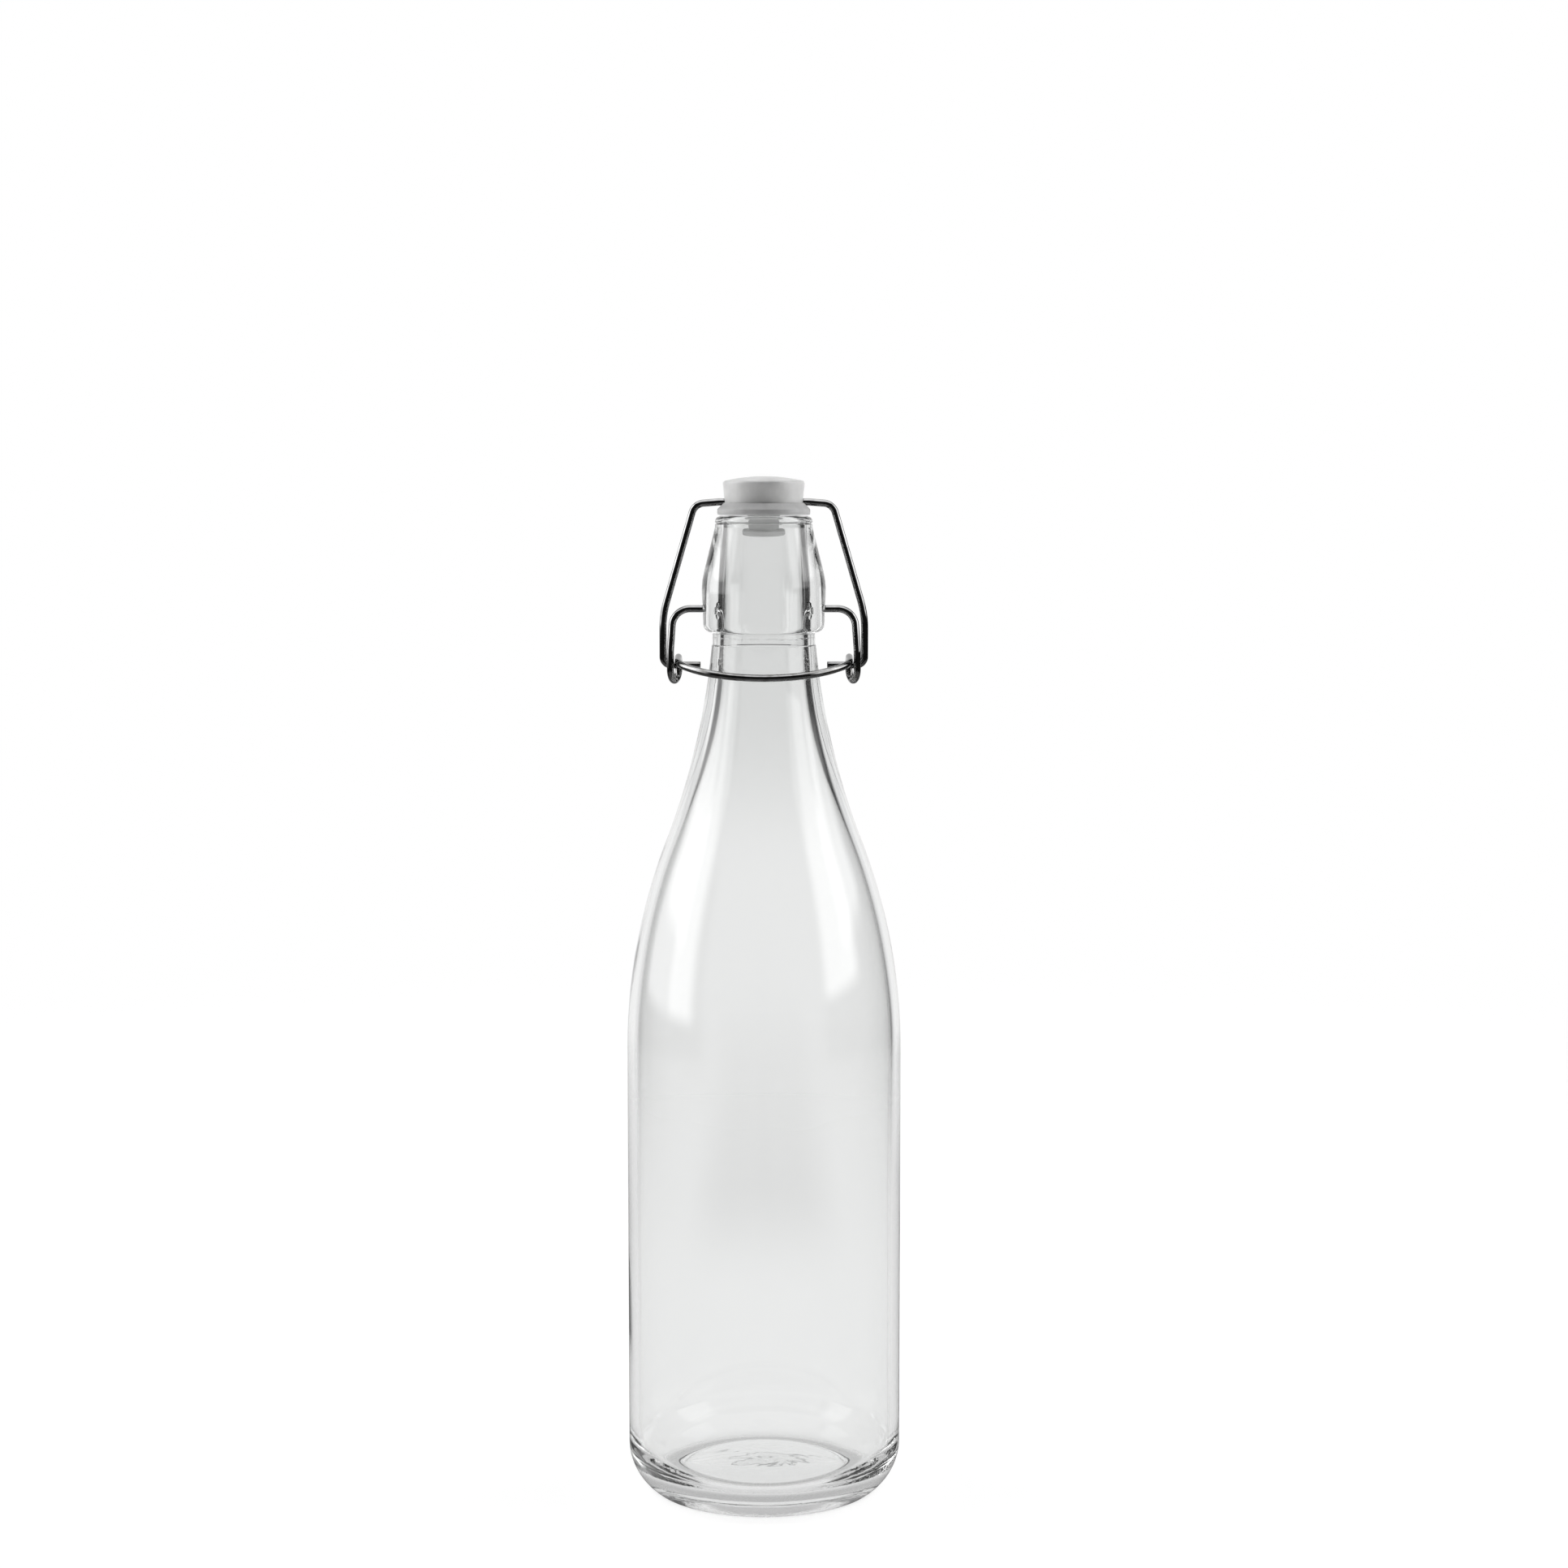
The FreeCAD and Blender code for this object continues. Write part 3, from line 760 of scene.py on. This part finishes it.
def cut_ends(points):
    """Adds the points of the two rounded cut ends; returns the line and its girth at each point."""
    steps = [wire_end_round * (1 - math.cos(math.pi / 2 * i / 6)) for i in range(1, 7)]
    girths = [
        1 - (wire_end_round - math.sqrt(wire_end_round ** 2 - (wire_end_round - s) ** 2)) / wire_radius
        for s in steps
    ]
    first = (points[1] - points[0]).normalized()
    last = (points[-2] - points[-1]).normalized()
    front = [points[0] + first * s for s in steps]
    back = [points[-1] + last * s for s in reversed(steps)]
    flat = 1 - wire_end_round / wire_radius
    line = [points[0]] + front + points[1:-1] + back + [points[-1]]
    return line, [flat] + girths + [1.0] * (len(points) - 2) + girths[::-1] + [flat]


drawing, source, result = new_tree("drawn wire", [
    ("Line", "NodeSocketGeometry"),
    ("Radius", "NodeSocketFloat"),
    ("Sides", "NodeSocketInt"),
    ("Finish", "NodeSocketMaterial"),
])
girth = new_node(drawing, "GeometryNodeInputNamedAttribute", {"Name": "girth"}).outputs[0]
path = new_node(drawing, "GeometryNodeMeshToCurve", {"Mesh": source["Line"]}).outputs[0]
round_section = new_node(
    drawing, "GeometryNodeCurvePrimitiveCircle", {"Resolution": source["Sides"], "Radius": source["Radius"]}
).outputs[0]
wire = new_node(drawing, "GeometryNodeCurveToMesh", {
    "Curve": path, "Profile Curve": round_section, "Scale": girth, "Fill Caps": True,
}).outputs[0]
wire = new_node(drawing, "GeometryNodeRealizeInstances", {"Geometry": wire}).outputs[0]
wire = new_node(drawing, "GeometryNodeSetMaterial", {"Geometry": wire, "Material": source["Finish"]})
drawing.links.new(wire.outputs[0], result.inputs[0])

# bright zinc on drawn steel: die lines along it, a soft bloom, and rubbed places at the eyes
plated_wire, tree, shader, output = plain_material("plated spring wire")
shader.inputs["Metallic"].default_value = 1.0
place = new_node(tree, "ShaderNodeTexCoord").outputs["Object"]
drawn = new_node(tree, "ShaderNodeMapping", {"Vector": place, "Scale": (1.0, 1.0, 0.08)}).outputs[0]
part = new_node(tree, "ShaderNodeSeparateXYZ", {0: place}).outputs
die_lines = noise(tree, drawn, die_line_scale, 2.0)
bloom = noise(tree, place, bloom_scale, 5.0)
pit = step_between(tree, cells(tree, place, pit_scale), 0.16, 0.05)
rubbed = step_between(tree, part[2], eye_z + rubbed_height, eye_z)
rubbed = product(tree, rubbed, step_between(tree, bloom, 0.4, 0.6))
zinc = two_tones(tree, bloom, dark_zinc, bright_zinc, 0.30, 0.62)
worn = new_node(tree, "ShaderNodeMix", {"Factor": rubbed, 6: zinc, 7: worn_zinc}, data_type="RGBA")
tree.links.new(worn.outputs[2], shader.inputs["Base Color"])
dull = total(
    tree,
    polished_roughness,
    product(tree, step_between(tree, bloom, 0.62, 0.35), bloom_roughness),
    product(tree, pit, pit_roughness),
    product(tree, rubbed, rubbed_roughness),
)
tree.links.new(dull, shader.inputs["Roughness"])
relief = maths(tree, "SUBTRACT", product(tree, die_lines, 0.5), product(tree, pit, 0.2))
bump = new_node(tree, "ShaderNodeBump", {"Height": relief, "Strength": 0.5, "Distance": die_line_height})
tree.links.new(bump.outputs[0], shader.inputs["Normal"])


def wire_piece(name, points):
    line, girths = cut_ends(points)
    piece = made_by(drawing, name, line, {
        "Radius": wire_radius, "Sides": wire_sides, "Finish": plated_wire,
    }, {"girth": girths})
    outward(piece.data, 50)
    return piece


lever = wire_piece("lever_spring_wire", both_sides(lever_half()))
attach(lever, "lever")
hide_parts("lever_wire")


# ---- Bail wire ----
# The second length of the same wire. It passes through the stopper's head, comes down each side
# in one long bow, and its ends turn in through the coil eyes.
seat = Vector(next(j for j in frame["joints"] if j["name"] == "bail_pivot")["pos_m"])
head_pin = Vector(next(j for j in frame["joints"] if j["name"] == "stopper_pivot")["pos_m"])
bail_side_x = 0.0314
bail_tip_x = 0.0197
bail_lower_bend = 0.0026
bail_side_height = 0.0157
bail_side_bend = 0.0300
bail_top_x = 0.0214
bail_top_bend = 0.0040
bail_top_slope = 0.0006
bail_top_bend_small = 0.0060
head_top_radius = 0.01275


def bail_half():
    """Right half of the bail, from its lower end to the middle of the head."""
    up = head_pin - seat
    length = up.length
    up.normalize()

    def at(x, height):
        return seat + up * height + Vector((x, 0, 0))

    return rounded([
        (at(bail_tip_x, 0), 0),
        (at(bail_side_x, 0), bail_lower_bend),
        (at(bail_side_x, bail_side_height), bail_side_bend),
        (at(bail_top_x, length - bail_top_slope), bail_top_bend),
        (at(head_top_radius + wire_radius, length), bail_top_bend_small),
        (at(0.0, length), 0),
    ], math.radians(4))


bail = wire_piece("bail_spring_wire", both_sides(bail_half()))
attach(bail, "bail")
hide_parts("bail_wire")


# ---- Stopper ----
# Head, stem and barb are one moulding in milky polypropylene. The head is bored across for the
# bail, the barb holds the gasket on, and the gate was trimmed off in the middle of the top.
floor_z = head_pin.z - 0.00185
gasket_z = floor_z - 0.0021
head_bottom_radius = 0.0119
head_side_height = 0.0083
head_edge_round = 0.0009
head_dome = 0.0015
gate_radius = 0.0016
gate_depth = 0.00022
stem_radius = 0.0050
stem_foot_radius = 0.0046
plug_reach = 0.0076
barb_radius = 0.0067
barb_height = 0.0018
barb_edge_round = 0.0005
bore_play = 0.00006
turned_sides = 192
# painted shade and painted light: a shaded and a lit copy of the milk colour
milk_in_painted_shade = (0.69, 0.69, 0.685, 1)
milk_in_painted_light = (0.84, 0.84, 0.835, 1)
cloud_scale = 160.0
plastic_grain_scale = 2600.0
streak_scale = 700.0
satin_roughness = 0.24
parting_line_width = 0.00016
moulded_grain_height = 0.00003


def stopper_outline():
    top_z = floor_z + head_side_height
    barb_z = gasket_z - plug_reach
    dome_r = head_top_radius - 2 * head_edge_round
    cap = dome_points(dome_r, top_z + head_dome * 0.22, top_z + head_dome, 22)
    cap = [point for point in cap if point.x > gate_radius]
    gate_z = cap[-1].z
    gate = rounded([
        (cap[-1], 0),
        (rz(gate_radius, gate_z), 0.0001),
        (rz(gate_radius * 0.9, gate_z - gate_depth), 0.0001),
        (rz(0, gate_z - gate_depth), 0),
    ])
    return rounded([
        (rz(0, barb_z), 0),
        (rz(barb_radius, barb_z), barb_edge_round),
        (rz(barb_radius, barb_z + barb_height), barb_edge_round),
        (rz(stem_foot_radius, barb_z + barb_height), 0.0002),
        (rz(stem_radius, gasket_z), 0),
        (rz(stem_radius, floor_z), 0),
        (rz(head_bottom_radius, floor_z), 0.0003),
        (rz(head_top_radius, top_z), head_edge_round),
        (cap[0], 0),
    ]) + cap[1:-1] + gate


def crosswise_cutter(radius):
    """A rod along X through the head's pin line."""
    outline = [rz(0, -0.02), rz(radius, -0.02), rz(radius, 0.02), rz(0, 0.02)]
    cutter = made_by(turning, "cross hole", outline, {"Sides": 40, "Spindle": 0.001, "Finish": flint_glass})
    turned_about_x(cutter, 1, 0, head_pin.z)
    outward(cutter.data, 60)
    return cutter


# milky plastic: satin from the mould, a parting line over the top, and painted light and shade as lighter and
# darker cloudy patches in its colour
milky_plastic, tree, shader, output = plain_material("milky plastic")
place = new_node(tree, "ShaderNodeTexCoord").outputs["Object"]
part = new_node(tree, "ShaderNodeSeparateXYZ", {0: place}).outputs
cloud = noise(tree, place, cloud_scale, 4.0)
grain = noise(tree, place, plastic_grain_scale, 3.0)
stretched = new_node(tree, "ShaderNodeMapping", {"Vector": place, "Scale": (1.0, 1.0, 0.12)}).outputs[0]
streak = noise(tree, stretched, streak_scale, 3.0)
# painted light and shade: the shaded and the lit copy of the milk colour, mixed in random cloudy patches
milk = two_tones(tree, cloud, milk_in_painted_shade, milk_in_painted_light, 0.30, 0.70)
tree.links.new(milk, shader.inputs["Base Color"])
shader.inputs["Subsurface Weight"].default_value = 0.15
shader.inputs["Subsurface Scale"].default_value = 0.003
shader.inputs["Subsurface Radius"].default_value = (1.0, 1.0, 1.0)
satin = total(tree, satin_roughness, product(tree, streak, 0.22), product(tree, cloud, 0.08))
tree.links.new(satin, shader.inputs["Roughness"])
seam = maths(tree, "DIVIDE", maths(tree, "ABSOLUTE", part[1]), parting_line_width)
seam = step_between(tree, seam, 1.0, 0.2)
relief = total(tree, product(tree, grain, 0.25), product(tree, streak, 0.35), product(tree, seam, 0.9))
bump = new_node(tree, "ShaderNodeBump", {"Height": relief, "Strength": 0.7, "Distance": moulded_grain_height})
tree.links.new(bump.outputs[0], shader.inputs["Normal"])

plug = made_by(turning, "stopper_moulding", stopper_outline(), {
    "Sides": turned_sides, "Spindle": 0.006, "Finish": milky_plastic,
})
outward(plug.data, 40)
cut_by(plug, [crosswise_cutter(wire_radius + bore_play)])
outward(plug.data, 30)
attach(plug, "stopper")
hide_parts("stopper")


# ---- Gasket ----
# A soft grey washer, moulded with a low cup that the head's foot sits in. It is pushed over the
# barb, and carries a hair of flash round its rim where the mould halves met.
gasket_radius = 0.01445
gasket_rim_height = 0.0017
gasket_edge_round = 0.00045
gasket_cup_top_radius = 0.01245
gasket_height = 0.0037
gasket_floor = 0.0021
cup_play = 0.00008
stem_play = 0.00005
saddle_play = 0.0003
flash_height = 0.00005
dark_rubber = (0.50, 0.50, 0.50, 1)
light_rubber = (0.62, 0.62, 0.62, 1)
talc_grey = (0.74, 0.74, 0.73, 1)
patch_scale = 240.0
rubber_grain_scale = 3400.0
talc_scale = 2400.0
rubber_roughness = 0.36


def gasket_outline():
    bore = stem_radius + stem_play
    cup = head_bottom_radius + cup_play
    cup_top = cup + (head_top_radius - head_bottom_radius) / head_side_height * (gasket_height - gasket_floor)
    side = gasket_radius - flash_height
    flash_z = gasket_z + gasket_rim_height * 0.5
    return rounded([
        (rz(bore, gasket_z), 0),
        (rz(side, gasket_z), gasket_edge_round),
        (rz(side, flash_z - flash_height * 2), 0.00005),
        (rz(gasket_radius, flash_z), 0.00003),
        (rz(side, flash_z + flash_height * 2), 0.00005),
        (rz(side, gasket_z + gasket_rim_height), gasket_edge_round),
        (rz(gasket_cup_top_radius, gasket_z + gasket_height), 0.00012),
        (rz(cup_top, gasket_z + gasket_height), 0.0001),
        (rz(cup, floor_z), 0),
        (rz(bore, floor_z), 0),
        (rz(bore, gasket_z), 0),
    ])


grey_rubber, tree, shader, output = plain_material("grey rubber")
place = new_node(tree, "ShaderNodeTexCoord").outputs["Object"]
patch = noise(tree, place, patch_scale, 5.0)
grain = noise(tree, place, rubber_grain_scale, 3.0)
talc = step_between(tree, cells(tree, place, talc_scale), 0.22, 0.08)
talc = product(tree, talc, step_between(tree, patch, 0.45, 0.65))
rubber = two_tones(tree, patch, dark_rubber, light_rubber, 0.30, 0.72)
dusted = new_node(tree, "ShaderNodeMix", {"Factor": talc, 6: rubber, 7: talc_grey}, data_type="RGBA")
tree.links.new(dusted.outputs[2], shader.inputs["Base Color"])
shader.inputs["Subsurface Weight"].default_value = 0.3
shader.inputs["Subsurface Scale"].default_value = 0.0015
shader.inputs["Subsurface Radius"].default_value = (1.0, 1.0, 1.0)
dull = total(tree, rubber_roughness, product(tree, patch, 0.2), product(tree, talc, 0.2))
tree.links.new(dull, shader.inputs["Roughness"])
relief = total(tree, product(tree, grain, 0.5), talc)
bump = new_node(tree, "ShaderNodeBump", {"Height": relief, "Strength": 0.6, "Distance": moulded_grain_height})
tree.links.new(bump.outputs[0], shader.inputs["Normal"])

washer = made_by(turning, "gasket_rubber", gasket_outline(), {
    "Sides": turned_sides, "Spindle": 0.009, "Finish": grey_rubber,
})
outward(washer.data, 40)
cut_by(washer, [crosswise_cutter(wire_radius + saddle_play)])
outward(washer.data, 30)
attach(washer, "stopper")
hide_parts("gasket")
